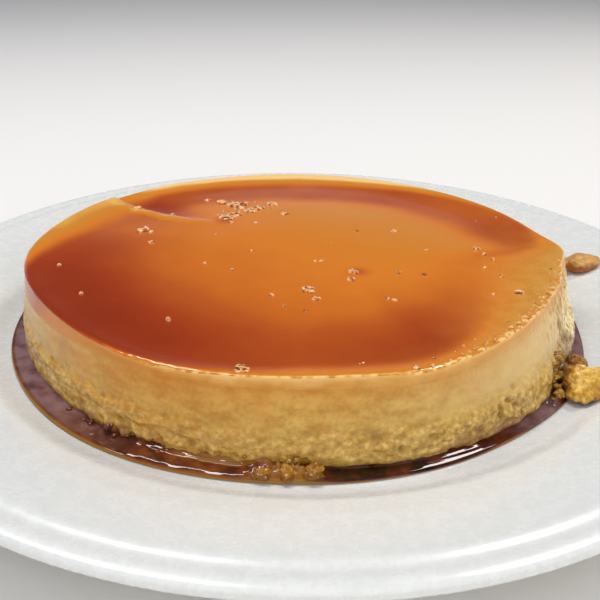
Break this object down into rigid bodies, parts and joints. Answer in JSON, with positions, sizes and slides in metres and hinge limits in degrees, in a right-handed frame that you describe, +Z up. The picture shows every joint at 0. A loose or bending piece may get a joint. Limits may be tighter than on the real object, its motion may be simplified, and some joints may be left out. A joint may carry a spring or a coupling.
{
  "type": "creme caramel flan on a plate",
  "caption": "Round creme caramel flan with a glossy caramel top, one torn end and loose custard scraps, in a ring of caramel sauce on a shallow glazed plate.",
  "frame": {"origin": "centre of the plate's foot, on the surface that the plate stands on", "axes": "+Z up through the middle of the plate; -Y towards the front of the flan; +X towards its torn end"},
  "size_m": [0.28, 0.28, 0.0335],
  "materials": {
    "glazed_stoneware": "off-white glazed stoneware, faintly mottled, glossy",
    "custard": "baked egg custard, moist, fine-pored and curdled near the foot",
    "caramel": "wet amber caramel over custard, mirror-glossy",
    "caramel_sauce": "dark liquid caramel, mirror-glossy",
    "soaked_custard": "custard scraps soaked in caramel, wet"
  },
  "bodies": {
    "root": {"plate": "glazed_stoneware", "custard": "custard", "caramel_top": "caramel", "caramel_sauce": "caramel_sauce", "broken_custard": "custard", "custard_tongue": "soaked_custard", "soaked_rubble": "soaked_custard", "soaked_scrap_1": "soaked_custard", "soaked_scrap_2": "soaked_custard", "soaked_scrap_3": "soaked_custard"}
  },
  "joints": []
}
